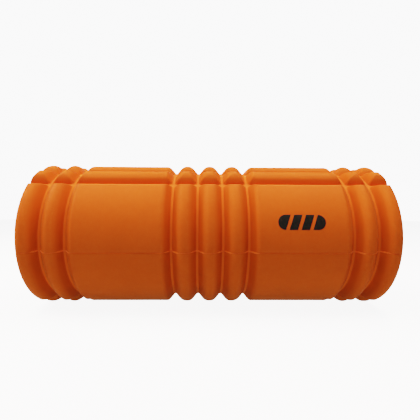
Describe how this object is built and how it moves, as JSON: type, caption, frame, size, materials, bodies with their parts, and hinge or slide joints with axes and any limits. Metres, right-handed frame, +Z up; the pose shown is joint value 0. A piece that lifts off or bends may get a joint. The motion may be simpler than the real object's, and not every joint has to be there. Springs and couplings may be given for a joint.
{
  "type": "foam roller",
  "caption": "Hollow-core massage roller: a soft grooved foam sleeve in two halves bonded round a rigid tube, with ring grooves, lengthwise grooves and wide pads.",
  "frame": {"origin": "middle of the roller's axis, which is the centre of its bounding box", "axes": "+X along the roller's axis, +Z up, -Y towards the side that carries the printed mark, so the roller lies on its side"},
  "size_m": [0.33, 0.1384, 0.1374],
  "materials": {
    "eva_foam": "matte, fine closed-cell grain",
    "core_plastic": "extruded, satin",
    "adhesive": "dried contact adhesive",
    "ink": "flat screen print"
  },
  "bodies": {
    "root": {"core_tube": "core_plastic", "foam_shell_upper": "eva_foam", "foam_shell_lower": "eva_foam", "adhesive_film_upper": "adhesive", "adhesive_film_lower": "adhesive", "seam_adhesive_front": "adhesive", "seam_adhesive_rear": "adhesive", "printed_mark": "ink"}
  },
  "joints": []
}
